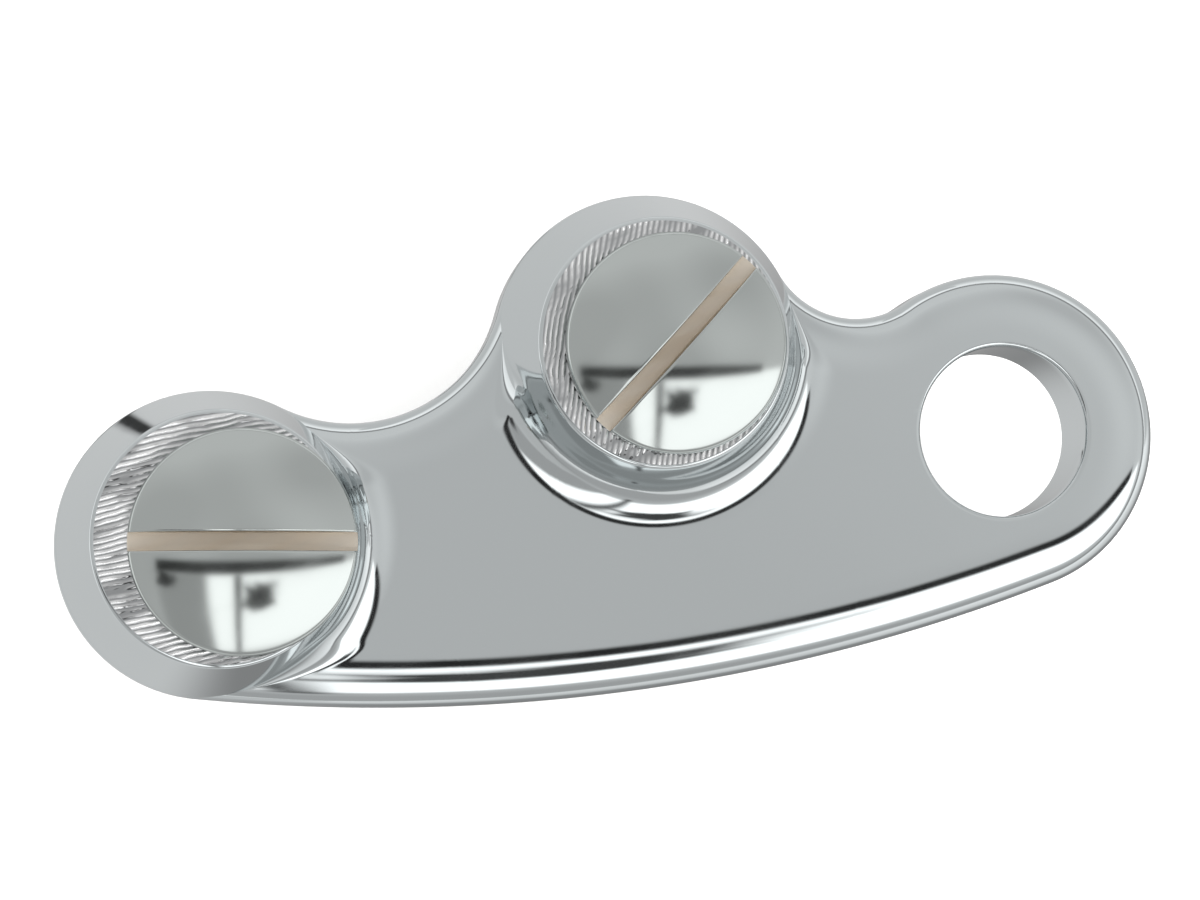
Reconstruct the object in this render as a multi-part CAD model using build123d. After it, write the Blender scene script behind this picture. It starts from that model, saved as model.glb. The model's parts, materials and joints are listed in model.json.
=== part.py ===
"""Rocker arm of a sprung motorcycle front fork, with its two pivot studs.

Millimetres.  The origin is the centre of the axle eye, on the flat inner face of the arm.
+Z is the outer side, where the studs' domed heads are, and every bore runs along Z.
+X runs parallel to the line through the two pivots, from the rear pivot to the front one.
"""

import os
from math import atan2, cos, degrees, hypot, radians, sin, tan

from build123d import *

# ---------------------------------------------------------------- arm: where things are
PIVOT_SPACING = 50.8
AXLE_AHEAD_OF_FRONT_PIVOT = 31.1
AXLE_BELOW_PIVOT_LINE = 24.0

# ---------------------------------------------------------------- arm: the forging
WEB_THICKNESS = 9.525
EDGE_ROLL = 3.8
BACK_EDGE_ROLL = 1.5
REAR_LOBE_RADIUS = 16.8
REAR_LOBE_SHIFT = (-3.1, 1.5)
FRONT_LOBE_RADIUS = 17.2
FRONT_LOBE_SHIFT = (-1.1, 1.1)
EYE_LOBE_RADIUS = 18.0
NECK_RADIUS_BETWEEN_PIVOTS = 17.0
NECK_RADIUS_AT_EYE = 10.0
BELLY_RADIUS = 211.0

BOSS_HEIGHT = 17.0
BOSS_FACE_RADIUS = 13.6
REAR_BOSS_FACE_SHIFT = (-1.9, 1.3)
FRONT_BOSS_FACE_SHIFT = (-1.0, 0.6)
BOSS_DRAFT = 16.0
BOSS_EDGE_BREAK = 0.3
BOSS_FOOT_RADIUS = 5.0
BOSS_FOOT_INSET = 0.05

# ---------------------------------------------------------------- arm: machining
AXLE_BORE_RADIUS = 9.525
AXLE_RIM_ROUND = 0.5
SEAL_RECESS_DEPTH = 1.8

# ---------------------------------------------------------------- stud
THREAD_RADIUS = 7.144
SHOULDER_STEP = 0.7935
HEAD_RADIUS = 12.0
HEAD_SIDE_HEIGHT = 1.3
HEAD_RIM_ROUND = 0.4
DOME_RISE = 3.2
SLOT_WIDTH = 1.95
SLOT_BELOW_RIM = 0.8
REAR_SLOT_ANGLE = -24.8
FRONT_SLOT_ANGLE = 23.2
FREE_THREAD_LENGTH = 14.0
THREAD_PAST_NUT = 0.4
THREAD_RELIEF_WIDTH = 1.6
THREAD_RELIEF_DEPTH = 0.9
THREAD_END_CHAMFER = 1.0
GREASE_HOLE_RADIUS = 1.6
GREASE_CROSS_HOLE_RADIUS = 1.2
GREASE_GROOVE_WIDTH = 2.4
GREASE_GROOVE_DEPTH = 0.5

# ---------------------------------------------------------------- bush, washers, seal and nut
BUSH_WALL = 1.5475
RUNNING_CLEARANCE = 0.04
END_PLAY = 0.1
HEAD_WASHER_THICKNESS = 1.4
WASHER_BORE_CLEARANCE = 0.2
WASHER_EDGE_CLEARANCE = 0.1
THRUST_WASHER_THICKNESS = 1.6
THRUST_WASHER_LAP_OVER_SEAL = 0.7
SEAL_WIDTH = 2.425
SEAL_CLEARANCE = 0.05
LOCK_WASHER_THICKNESS = 3.2
LOCK_WASHER_WIDTH = 4.256
LOCK_WASHER_SPLIT = 1.6
LOCK_WASHER_SPLIT_TILT = 20.0
NUT_ACROSS_FLATS = 22.225
NUT_HEIGHT = 7.94
NUT_THREAD_CLEARANCE = 0.02
NUT_CORNER_CHAMFER_ANGLE = 30.0

# ---------------------------------------------------------------- grease nipple
NIPPLE_SHANK_RADIUS = 3.175
NIPPLE_SHANK_LENGTH = 5.5
NIPPLE_SHANK_CLEARANCE = 0.02
NIPPLE_HEX_ACROSS_FLATS = 7.94
NIPPLE_HEX_HEIGHT = 3.2
NIPPLE_NECK_RADIUS = 2.3
NIPPLE_NECK_LENGTH = 1.5
NIPPLE_HEAD_RADIUS = 3.3
NIPPLE_HEAD_LENGTH = 3.4
NIPPLE_TIP_RADIUS = 2.0
NIPPLE_FEED_RADIUS = 0.6
NIPPLE_SEAT_RADIUS = 0.7
NIPPLE_SEAT_DEPTH = 0.5
BALL_RADIUS = 1.0
BALL_SIDE_CLEARANCE = 0.1
BALL_SEAT_GAP = 0.02
SPRING_WIRE_RADIUS = 0.14
SPRING_SIDE_CLEARANCE = 0.24
SPRING_TURNS = 5
SPRING_END_GAP = 0.05

# ---------------------------------------------------------------- worked out from the above
REAR_PIVOT = (-AXLE_AHEAD_OF_FRONT_PIVOT - PIVOT_SPACING, AXLE_BELOW_PIVOT_LINE)
FRONT_PIVOT = (-AXLE_AHEAD_OF_FRONT_PIVOT, AXLE_BELOW_PIVOT_LINE)
JOURNAL_RADIUS = THREAD_RADIUS + SHOULDER_STEP
BUSH_BORE_RADIUS = JOURNAL_RADIUS + RUNNING_CLEARANCE
BUSH_RADIUS = BUSH_BORE_RADIUS + BUSH_WALL
SEAL_BORE_RADIUS = BUSH_RADIUS + SEAL_CLEARANCE
SEAL_RADIUS = SEAL_BORE_RADIUS + SEAL_WIDTH
SEAL_RECESS_RADIUS = SEAL_RADIUS + SEAL_CLEARANCE
HEAD_BASE = BOSS_HEIGHT + END_PLAY
HEAD_WASHER_BASE = HEAD_BASE - HEAD_WASHER_THICKNESS
BUSH_TOP = HEAD_WASHER_BASE - END_PLAY
HEAD_RIM = HEAD_BASE + HEAD_SIDE_HEIGHT
DOME_RADIUS = (HEAD_RADIUS**2 + DOME_RISE**2) / (2 * DOME_RISE)
SLOT_FLOOR = HEAD_RIM - SLOT_BELOW_RIM
SHOULDER = -END_PLAY
THRUST_WASHER_BASE = SHOULDER - THRUST_WASHER_THICKNESS
LOCK_WASHER_BASE = THRUST_WASHER_BASE - LOCK_WASHER_THICKNESS
NUT_BASE = LOCK_WASHER_BASE - NUT_HEIGHT
THREAD_RELIEF_TOP = NUT_BASE - THREAD_PAST_NUT
THREAD_RELIEF_BASE = THREAD_RELIEF_TOP - THREAD_RELIEF_WIDTH
STUD_END = NUT_BASE - FREE_THREAD_LENGTH
WASHER_THREAD_BORE = THREAD_RADIUS + WASHER_BORE_CLEARANCE
THRUST_WASHER_RADIUS = SEAL_RADIUS + THRUST_WASHER_LAP_OVER_SEAL
LOCK_WASHER_RADIUS = WASHER_THREAD_BORE + LOCK_WASHER_WIDTH
GREASE_CROSS_HOLE_HEIGHT = BUSH_TOP / 2
NIPPLE_HEX_BASE = STUD_END - NIPPLE_HEX_HEIGHT
NIPPLE_NECK_BASE = NIPPLE_HEX_BASE - NIPPLE_NECK_LENGTH
NIPPLE_TIP = NIPPLE_NECK_BASE - NIPPLE_HEAD_LENGTH
BALL_SEAT = NIPPLE_TIP + NIPPLE_SEAT_DEPTH
BALL_CENTRE = BALL_SEAT + (BALL_RADIUS**2 - NIPPLE_SEAT_RADIUS**2) ** 0.5 + BALL_SEAT_GAP
NIPPLE_CHAMBER_RADIUS = BALL_RADIUS + BALL_SIDE_CLEARANCE
SPRING_MEAN_RADIUS = NIPPLE_CHAMBER_RADIUS - SPRING_WIRE_RADIUS - SPRING_SIDE_CLEARANCE
SPRING_TO_BALL = BALL_RADIUS + SPRING_WIRE_RADIUS + SPRING_END_GAP
SPRING_LOW = BALL_CENTRE + (SPRING_TO_BALL**2 - SPRING_MEAN_RADIUS**2) ** 0.5
CHAMBER_TOP = NIPPLE_HEX_BASE + NIPPLE_HEX_HEIGHT / 2
SPRING_HIGH = CHAMBER_TOP - SPRING_WIRE_RADIUS - SPRING_END_GAP

# How far a cutting tool runs past the face that it cuts.
OVERRUN = 2.0


def shifted(point, shift):
    """A point moved by a shift, both (x, y)."""
    return (point[0] + shift[0], point[1] + shift[1])


def cylinder(centre, radius, low, high):
    """An upright cylinder from height low to height high."""
    return Pos(centre[0], centre[1], (low + high) / 2) * Cylinder(radius, high - low)


def ring(centre, inner_radius, outer_radius, low, high):
    """An upright ring, such as a washer or a bush."""
    return cylinder(centre, outer_radius, low, high) - cylinder(
        centre, inner_radius, low - OVERRUN, high + OVERRUN
    )


def turned(centre, points):
    """A turned solid: (radius, height) points joined by straight lines, spun about the axis."""
    face = make_face(Polyline(*[(radius, 0, height) for radius, height in points], close=True))
    return Pos(centre[0], centre[1], 0) * revolve(face, Axis.Z)


def meeting_point(first, first_distance, second, second_distance):
    """The point left of the line first-second that lies at the two given distances."""
    dx = second[0] - first[0]
    dy = second[1] - first[1]
    span = hypot(dx, dy)
    along = (first_distance**2 - second_distance**2 + span**2) / (2 * span)
    aside = (first_distance**2 - along**2) ** 0.5
    return (
        first[0] + (along * dx - aside * dy) / span,
        first[1] + (along * dy + aside * dx) / span,
    )


def direction(start, end):
    """The angle in degrees of the line from start to end."""
    return degrees(atan2(end[1] - start[1], end[0] - start[0]))


def arc(centre, radius, start_angle, end_angle, turn):
    """An arc from one angle to the other: turn is 1 for anticlockwise, -1 for clockwise."""
    sweep = turn * ((turn * (end_angle - start_angle)) % 360)
    return CenterArc(centre, radius, start_angle, sweep)


def arm_outline():
    """Three lobes, round the pivots and the eye, joined by two necks and a long belly arc."""
    rear = shifted(REAR_PIVOT, REAR_LOBE_SHIFT)
    front = shifted(FRONT_PIVOT, FRONT_LOBE_SHIFT)
    eye = (0, 0)
    belly = meeting_point(
        rear, BELLY_RADIUS - REAR_LOBE_RADIUS, eye, BELLY_RADIUS - EYE_LOBE_RADIUS
    )
    eye_neck = meeting_point(
        front,
        FRONT_LOBE_RADIUS + NECK_RADIUS_AT_EYE,
        eye,
        EYE_LOBE_RADIUS + NECK_RADIUS_AT_EYE,
    )
    pivot_neck = meeting_point(
        rear,
        REAR_LOBE_RADIUS + NECK_RADIUS_BETWEEN_PIVOTS,
        front,
        FRONT_LOBE_RADIUS + NECK_RADIUS_BETWEEN_PIVOTS,
    )
    return make_face(
        [
            arc(belly, BELLY_RADIUS, direction(belly, rear), direction(belly, eye), 1),
            arc(eye, EYE_LOBE_RADIUS, direction(belly, eye), direction(eye, eye_neck), 1),
            arc(
                eye_neck,
                NECK_RADIUS_AT_EYE,
                direction(eye_neck, eye),
                direction(eye_neck, front),
                -1,
            ),
            arc(
                front,
                FRONT_LOBE_RADIUS,
                direction(front, eye_neck),
                direction(front, pivot_neck),
                1,
            ),
            arc(
                pivot_neck,
                NECK_RADIUS_BETWEEN_PIVOTS,
                direction(pivot_neck, front),
                direction(pivot_neck, rear),
                -1,
            ),
            arc(rear, REAR_LOBE_RADIUS, direction(rear, pivot_neck), direction(belly, rear), 1),
        ]
    )


def arm_web():
    """The flat web of the arm, with its long edges rolled over."""
    web = extrude(arm_outline(), WEB_THICKNESS)
    front_edges = web.edges().group_by(Axis.Z)[-1]
    web = fillet(front_edges, EDGE_ROLL)
    back_edges = web.edges().group_by(Axis.Z)[0]
    return fillet(back_edges, BACK_EDGE_ROLL)


def boss_foot_height():
    """Where a boss's drafted flank leaves the rolled edge of the web."""
    return WEB_THICKNESS - EDGE_ROLL + EDGE_ROLL * sin(radians(BOSS_DRAFT))


def boss(pivot, lobe_radius, lobe_shift, face_shift):
    """A drafted boss that grows out of the rolled edge and leans to its machined face."""
    foot = boss_foot_height()
    foot_radius = lobe_radius - EDGE_ROLL * (1 - cos(radians(BOSS_DRAFT))) - BOSS_FOOT_INSET
    foot_centre = shifted(pivot, lobe_shift)
    face_centre = shifted(pivot, face_shift)
    low = Pos(foot_centre[0], foot_centre[1], foot) * Circle(foot_radius)
    high = Pos(face_centre[0], face_centre[1], BOSS_HEIGHT) * Circle(BOSS_FACE_RADIUS)
    body = loft([low, high])
    return fillet(body.edges().group_by(Axis.Z)[-1], BOSS_EDGE_BREAK)


def web_foot_edges(arm):
    """The sharp inside corners where the bosses stand on the flat of the web."""
    flat = arm.edges().filter_by_position(Axis.Z, WEB_THICKNESS, WEB_THICKNESS)
    return [edge for edge in flat if edge.geom_type == GeomType.BSPLINE]


def axle_bore_rim(arm):
    """The rim of the axle bore on the outer face of the web."""
    circles = arm.edges().filter_by(GeomType.CIRCLE)
    circles = circles.filter_by_position(Axis.Z, WEB_THICKNESS, WEB_THICKNESS)
    return [edge for edge in circles if abs(edge.radius - AXLE_BORE_RADIUS) < AXLE_RIM_ROUND / 2]


def pivot_holes(pivot):
    """What is machined out of the arm at a pivot: the bush's bore and the seal's recess."""
    holes = cylinder(pivot, BUSH_RADIUS, -OVERRUN, BOSS_HEIGHT + OVERRUN)
    holes += cylinder(pivot, SEAL_RECESS_RADIUS, -OVERRUN, SEAL_RECESS_DEPTH)
    return holes


def rocker_arm():
    """The whole arm: web, two bosses and every machined hole."""
    arm = arm_web()
    arm += boss(REAR_PIVOT, REAR_LOBE_RADIUS, REAR_LOBE_SHIFT, REAR_BOSS_FACE_SHIFT)
    arm += boss(FRONT_PIVOT, FRONT_LOBE_RADIUS, FRONT_LOBE_SHIFT, FRONT_BOSS_FACE_SHIFT)
    arm = fillet(web_foot_edges(arm), BOSS_FOOT_RADIUS)
    arm -= cylinder((0, 0), AXLE_BORE_RADIUS, -OVERRUN, WEB_THICKNESS + OVERRUN)
    arm = fillet(axle_bore_rim(arm), AXLE_RIM_ROUND)
    arm -= pivot_holes(REAR_PIVOT)
    arm -= pivot_holes(FRONT_PIVOT)
    return arm


def stud_head(pivot):
    """A round head with a domed top, its rim slightly rounded."""
    dome_centre = HEAD_RIM + DOME_RISE - DOME_RADIUS
    head = cylinder(pivot, HEAD_RADIUS, HEAD_BASE, HEAD_RIM + DOME_RISE)
    head &= Pos(pivot[0], pivot[1], dome_centre) * Sphere(DOME_RADIUS)
    return fillet(head.edges().filter_by_position(Axis.Z, HEAD_RIM, HEAD_RIM), HEAD_RIM_ROUND)


def screwdriver_slot(pivot, slot_angle):
    """The bar of metal that the slot takes out of the head, from side to side."""
    top = HEAD_RIM + DOME_RISE + OVERRUN
    bar = Box(2 * (HEAD_RADIUS + OVERRUN), SLOT_WIDTH, top - SLOT_FLOOR)
    return Pos(pivot[0], pivot[1], (SLOT_FLOOR + top) / 2) * (Rot(0, 0, slot_angle) * bar)


def grease_passages(pivot):
    """The nipple's hole, the long drilling, the cross hole and the groove that they feed."""
    nipple_hole_end = STUD_END + NIPPLE_SHANK_LENGTH + OVERRUN
    groove_low = GREASE_CROSS_HOLE_HEIGHT - GREASE_GROOVE_WIDTH / 2
    groove_high = GREASE_CROSS_HOLE_HEIGHT + GREASE_GROOVE_WIDTH / 2
    groove_floor = JOURNAL_RADIUS - GREASE_GROOVE_DEPTH
    cross_hole = Rot(90, 0, 0) * Cylinder(GREASE_CROSS_HOLE_RADIUS, 2 * JOURNAL_RADIUS)
    passages = Pos(pivot[0], pivot[1], GREASE_CROSS_HOLE_HEIGHT) * cross_hole
    passages += cylinder(pivot, GREASE_HOLE_RADIUS, STUD_END, GREASE_CROSS_HOLE_HEIGHT)
    passages += cylinder(pivot, NIPPLE_SHANK_RADIUS, STUD_END - OVERRUN, nipple_hole_end)
    passages += ring(pivot, groove_floor, JOURNAL_RADIUS + OVERRUN, groove_low, groove_high)
    return passages


def stud(pivot, slot_angle):
    """A shouldered stud: slotted dome head, ground journal, threaded end, grease passages.

    A relief groove parts the nut's thread from the length that screws into the fork leg.
    """
    inside_head = HEAD_BASE + HEAD_SIDE_HEIGHT / 2
    relief_radius = THREAD_RADIUS - THREAD_RELIEF_DEPTH
    shank = turned(
        pivot,
        [
            (0, inside_head),
            (JOURNAL_RADIUS, inside_head),
            (JOURNAL_RADIUS, SHOULDER),
            (THREAD_RADIUS, SHOULDER),
            (THREAD_RADIUS, THREAD_RELIEF_TOP),
            (relief_radius, THREAD_RELIEF_TOP),
            (relief_radius, THREAD_RELIEF_BASE),
            (THREAD_RADIUS, THREAD_RELIEF_BASE),
            (THREAD_RADIUS, STUD_END + THREAD_END_CHAMFER),
            (THREAD_RADIUS - THREAD_END_CHAMFER, STUD_END),
            (0, STUD_END),
        ],
    )
    whole = stud_head(pivot) + shank
    return whole - screwdriver_slot(pivot, slot_angle) - grease_passages(pivot)


def bush(pivot):
    """The bronze bush that is pressed into the arm and turns on the journal."""
    return ring(pivot, BUSH_BORE_RADIUS, BUSH_RADIUS, 0, BUSH_TOP)


def head_washer(pivot):
    """The thrust washer between the stud's head and the bush."""
    return ring(
        pivot,
        JOURNAL_RADIUS + WASHER_BORE_CLEARANCE,
        BUSH_RADIUS - WASHER_EDGE_CLEARANCE,
        HEAD_WASHER_BASE,
        HEAD_BASE,
    )


def thrust_washer(pivot):
    """The washer clamped against the stud's shoulder, on the inner side of the arm."""
    return ring(
        pivot, WASHER_THREAD_BORE, THRUST_WASHER_RADIUS, THRUST_WASHER_BASE, SHOULDER
    )


def dust_seal(pivot):
    """The seal ring in the recess round the inner end of the bush."""
    return ring(pivot, SEAL_BORE_RADIUS, SEAL_RADIUS, 0, SEAL_RECESS_DEPTH - SEAL_CLEARANCE)


def lock_washer(pivot):
    """A split spring washer under the nut, cut through at a slant."""
    washer = ring(
        pivot, WASHER_THREAD_BORE, LOCK_WASHER_RADIUS, LOCK_WASHER_BASE, THRUST_WASHER_BASE
    )
    middle = (LOCK_WASHER_BASE + THRUST_WASHER_BASE) / 2
    cut = Box(LOCK_WASHER_RADIUS, LOCK_WASHER_SPLIT, 3 * LOCK_WASHER_THICKNESS)
    cut = Rot(LOCK_WASHER_SPLIT_TILT, 0, 0) * cut
    return washer - Pos(pivot[0] + LOCK_WASHER_RADIUS, pivot[1], middle) * cut


def hexagon_bar(pivot, across_flats, low, high):
    """A six-sided bar with its corners turned off at both ends."""
    corner = across_flats / 3**0.5
    flat = across_flats / 2
    bevel = (corner - flat) * tan(radians(NUT_CORNER_CHAMFER_ANGLE))
    bar = Pos(pivot[0], pivot[1], low) * extrude(RegularPolygon(corner, 6), high - low)
    envelope = turned(
        pivot,
        [
            (0, low),
            (flat, low),
            (corner, low + bevel),
            (corner, high - bevel),
            (flat, high),
            (0, high),
        ],
    )
    return bar & envelope


def stud_nut(pivot):
    """The thin lock nut that holds the washers up against the stud's shoulder."""
    nut = hexagon_bar(pivot, NUT_ACROSS_FLATS, NUT_BASE, LOCK_WASHER_BASE)
    return nut - cylinder(
        pivot, THREAD_RADIUS + NUT_THREAD_CLEARANCE, NUT_BASE - OVERRUN, LOCK_WASHER_BASE + OVERRUN
    )


def grease_nipple(pivot):
    """The nipple screwed into the end of the stud: shank, hexagon, neck and coupling head."""
    shank_top = STUD_END + NIPPLE_SHANK_LENGTH
    shank_radius = NIPPLE_SHANK_RADIUS - NIPPLE_SHANK_CLEARANCE
    bulge = NIPPLE_NECK_BASE - NIPPLE_HEAD_LENGTH / 2
    body = cylinder(pivot, shank_radius, STUD_END - NIPPLE_SHANK_CLEARANCE, shank_top)
    body += hexagon_bar(pivot, NIPPLE_HEX_ACROSS_FLATS, NIPPLE_HEX_BASE, STUD_END)
    body += turned(
        pivot,
        [
            (0, NIPPLE_HEX_BASE + NIPPLE_SHANK_CLEARANCE),
            (NIPPLE_HEAD_RADIUS, NIPPLE_HEX_BASE + NIPPLE_SHANK_CLEARANCE),
            (NIPPLE_NECK_RADIUS, NIPPLE_NECK_BASE),
            (NIPPLE_HEAD_RADIUS, bulge),
            (NIPPLE_TIP_RADIUS, NIPPLE_TIP),
            (0, NIPPLE_TIP),
        ],
    )
    body -= cylinder(pivot, NIPPLE_FEED_RADIUS, CHAMBER_TOP, shank_top + OVERRUN)
    body -= cylinder(pivot, NIPPLE_CHAMBER_RADIUS, BALL_SEAT, CHAMBER_TOP)
    body -= cylinder(pivot, NIPPLE_SEAT_RADIUS, NIPPLE_TIP - OVERRUN, BALL_SEAT)
    return body


def nipple_ball(pivot):
    """The check ball that closes the nipple's tip."""
    return Pos(pivot[0], pivot[1], BALL_CENTRE) * Sphere(BALL_RADIUS)


def nipple_spring(pivot):
    """The little coil spring that holds the check ball on its seat."""
    length = SPRING_HIGH - SPRING_LOW
    path = Helix(pitch=length / SPRING_TURNS, height=length, radius=SPRING_MEAN_RADIUS)
    section = Plane(origin=path @ 0, z_dir=path % 0) * Circle(SPRING_WIRE_RADIUS)
    return Pos(pivot[0], pivot[1], SPRING_LOW) * sweep(section, path=path, is_frenet=True)


def pivot_parts(name, pivot, slot_angle):
    """Every piece that sits at one pivot, under its node's name."""
    return {
        f"{name}_pivot_stud": stud(pivot, slot_angle),
        f"{name}_bush": bush(pivot),
        f"{name}_head_washer": head_washer(pivot),
        f"{name}_thrust_washer": thrust_washer(pivot),
        f"{name}_dust_seal": dust_seal(pivot),
        f"{name}_lock_washer": lock_washer(pivot),
        f"{name}_stud_nut": stud_nut(pivot),
        f"{name}_grease_nipple": grease_nipple(pivot),
        f"{name}_nipple_ball": nipple_ball(pivot),
        f"{name}_nipple_spring": nipple_spring(pivot),
    }


os.makedirs("parts", exist_ok=True)
parts = {"rocker_arm": rocker_arm()}
parts.update(pivot_parts("rear", REAR_PIVOT, REAR_SLOT_ANGLE))
parts.update(pivot_parts("front", FRONT_PIVOT, FRONT_SLOT_ANGLE))
for node, shape in parts.items():
    export_step(shape, f"parts/{node}.step")
    print(f"{node}: {len(shape.solids())} solid, {shape.volume:.1f} mm3")
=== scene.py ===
# %% [markdown]
# # Fork rocker arm
# The object is the rocker arm of a sprung motorcycle front fork: a chrome-plated forging with two
# raised bosses, a slotted stud turning in each boss, and a plain eye for the axle. The CAD model is
# loaded first and stays the frame of everything here. Each visible piece is then made again as a
# finer surface, because polished chrome shows every facet of a coarse mesh.

# %% Load the frame
import json
from math import pi

import bmesh
import bpy
import numpy as np
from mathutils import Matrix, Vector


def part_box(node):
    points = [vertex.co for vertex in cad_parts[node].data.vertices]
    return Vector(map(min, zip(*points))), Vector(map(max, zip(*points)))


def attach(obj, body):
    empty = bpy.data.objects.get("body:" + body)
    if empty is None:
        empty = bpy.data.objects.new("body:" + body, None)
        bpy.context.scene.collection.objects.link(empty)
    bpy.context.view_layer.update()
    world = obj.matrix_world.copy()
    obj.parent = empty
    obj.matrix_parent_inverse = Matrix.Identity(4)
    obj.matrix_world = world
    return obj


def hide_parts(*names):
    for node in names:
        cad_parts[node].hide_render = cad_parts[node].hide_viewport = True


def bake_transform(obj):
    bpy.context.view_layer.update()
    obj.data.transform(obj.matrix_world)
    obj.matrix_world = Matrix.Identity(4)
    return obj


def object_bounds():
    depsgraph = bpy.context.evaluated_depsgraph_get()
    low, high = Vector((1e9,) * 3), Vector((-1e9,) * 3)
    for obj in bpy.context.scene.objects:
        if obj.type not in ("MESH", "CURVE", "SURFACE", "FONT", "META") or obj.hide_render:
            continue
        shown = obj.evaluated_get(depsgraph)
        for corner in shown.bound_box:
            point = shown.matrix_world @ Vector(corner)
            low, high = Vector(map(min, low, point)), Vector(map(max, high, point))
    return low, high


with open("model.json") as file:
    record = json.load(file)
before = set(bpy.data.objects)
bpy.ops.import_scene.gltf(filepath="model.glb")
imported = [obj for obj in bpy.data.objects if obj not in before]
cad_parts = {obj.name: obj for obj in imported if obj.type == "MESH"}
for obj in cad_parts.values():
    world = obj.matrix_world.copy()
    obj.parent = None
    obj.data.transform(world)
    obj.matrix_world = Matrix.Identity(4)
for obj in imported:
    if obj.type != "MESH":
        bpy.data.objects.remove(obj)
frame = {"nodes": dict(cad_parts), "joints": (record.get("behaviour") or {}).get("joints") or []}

cad_low, cad_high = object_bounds()
MM = 0.001
print("CAD box in mm:", [round(v / MM, 2) for v in cad_low], [round(v / MM, 2) for v in cad_high])

# %% [markdown]
# ## Where the pivots are
# The two hinges of the frame stand at the pivots, and the origin is the centre of the axle eye. All
# shapes below are worked out in millimetres from these three points, and turned into metres only
# when a mesh is made.

# %% Pivots and heights
joints = {joint["name"]: joint for joint in frame["joints"]}
REAR = np.array(joints["rear_pivot"]["pos_m"][:2]) / MM
FRONT = np.array(joints["front_pivot"]["pos_m"][:2]) / MM
EYE = np.zeros(2)


def node_heights(node):
    """The lowest and highest z of a CAD node, in mm."""
    low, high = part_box(node)
    return low[2] / MM, high[2] / MM


WEB_THICKNESS = 9.525
BOSS_HEIGHT = node_heights("rocker_arm")[1]
print("pivot spacing", (FRONT[0] - REAR[0]).round(2), "mm, boss height", round(BOSS_HEIGHT, 2))

# %% [markdown]
# ## Surfaces as grids
# A grid of points is the simplest smooth surface that Blender can show: row i and column j are the
# two parameters of the shape. One helper turns any such grid into faces, and another sews several
# grids into one closed mesh. Where two grids meet at a real edge, the edge is marked sharp by its
# angle, so that the shading does not smear across it.

# %% Grid and mesh helpers
def grid_faces(rows, columns, offset, wrap_rows=False, wrap_columns=False, flip=False):
    """Quads between neighbouring grid points; wrapping joins the last line to the first."""
    row = np.arange(rows if wrap_rows else rows - 1)
    column = np.arange(columns if wrap_columns else columns - 1)
    row, column = (a.ravel() for a in np.meshgrid(row, column, indexing="ij"))
    next_row = (row + 1) % rows
    next_column = (column + 1) % columns
    quads = np.stack(
        [
            row * columns + column,
            next_row * columns + column,
            next_row * columns + next_column,
            row * columns + next_column,
        ],
        axis=1,
    )
    return (quads[:, ::-1] if flip else quads) + offset


class Patch:
    """One grid of points in mm, shape (rows, columns, 3), with a material number."""

    def __init__(self, points, wrap_rows=False, wrap_columns=False, flip=False, material=0):
        self.points = np.asarray(points, dtype=float)
        self.wrap = (wrap_rows, wrap_columns)
        self.flip = flip
        self.material = material


def piece_from_patches(name, patches, sharp_angle=35.0, merge=0.002):
    """Sews patches into one mesh object: points closer than merge (mm) become one point."""
    points = np.concatenate([patch.points.reshape(-1, 3) for patch in patches]) * MM
    faces, materials, offset = [], [], 0
    for patch in patches:
        rows, columns = patch.points.shape[:2]
        quads = grid_faces(rows, columns, offset, *patch.wrap, patch.flip)
        faces.append(quads)
        materials.append(np.full(len(quads), patch.material))
        offset += rows * columns
    faces = np.concatenate(faces)
    mesh = bpy.data.meshes.new(name)
    mesh.from_pydata(points, [], faces.tolist())
    mesh.polygons.foreach_set("material_index", np.concatenate(materials).astype(np.int32))
    work = bmesh.new()
    work.from_mesh(mesh)
    bmesh.ops.remove_doubles(work, verts=work.verts, dist=merge * MM)
    bmesh.ops.dissolve_degenerate(work, edges=work.edges, dist=merge * MM / 10)
    open_edges = sum(1 for edge in work.edges if len(edge.link_faces) == 1)
    work.to_mesh(mesh)
    work.free()
    mesh.polygons.foreach_set("use_smooth", np.ones(len(mesh.polygons), dtype=bool))
    mesh.set_sharp_from_angle(angle=np.radians(sharp_angle))
    piece = bpy.data.objects.new(name, mesh)
    bpy.context.scene.collection.objects.link(piece)
    print(f"{name}: {len(mesh.polygons)} faces, {open_edges} open edges")
    return piece


pieces = {}


def add_piece(piece_name, patches, body, node, sharp_angle=35.0):
    """Makes a piece from patches, gives it its body, and hides the CAD node it replaces."""
    piece = piece_from_patches(piece_name, patches, sharp_angle)
    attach(piece, body)
    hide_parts(node)
    pieces[piece_name] = piece


def capped_tube(grid):
    """A tube (rows round its section, columns along it) closed at both ends by fans."""
    patches = [Patch(grid, wrap_rows=True, flip=True)]
    for end_face, flip in ((grid[:, 0], True), (grid[:, -1], False)):
        shares = np.array([1.0, 0.5, 0.0])[:, None, None]
        middle = end_face.mean(axis=0)
        patches.append(Patch(middle + shares * (end_face - middle), wrap_columns=True, flip=flip))
    return patches


def polar(radius, angle, z, centre=EYE):
    """Points at a radius and an angle (radians) about the upright axis through centre."""
    x, y = centre[0] + radius * np.cos(angle), centre[1] + radius * np.sin(angle)
    return np.stack(np.broadcast_arrays(x, y, z), axis=-1)


def lathe(centre, profile, angles=None, turns=96):
    """A profile of (radius, height) rows spun once about the upright axis through centre."""
    radius, z = np.asarray(profile, dtype=float).T[..., None]
    if angles is None:
        angles = np.linspace(0, 360, turns, endpoint=False)
    return polar(radius, np.radians(angles), z, centre)


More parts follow.
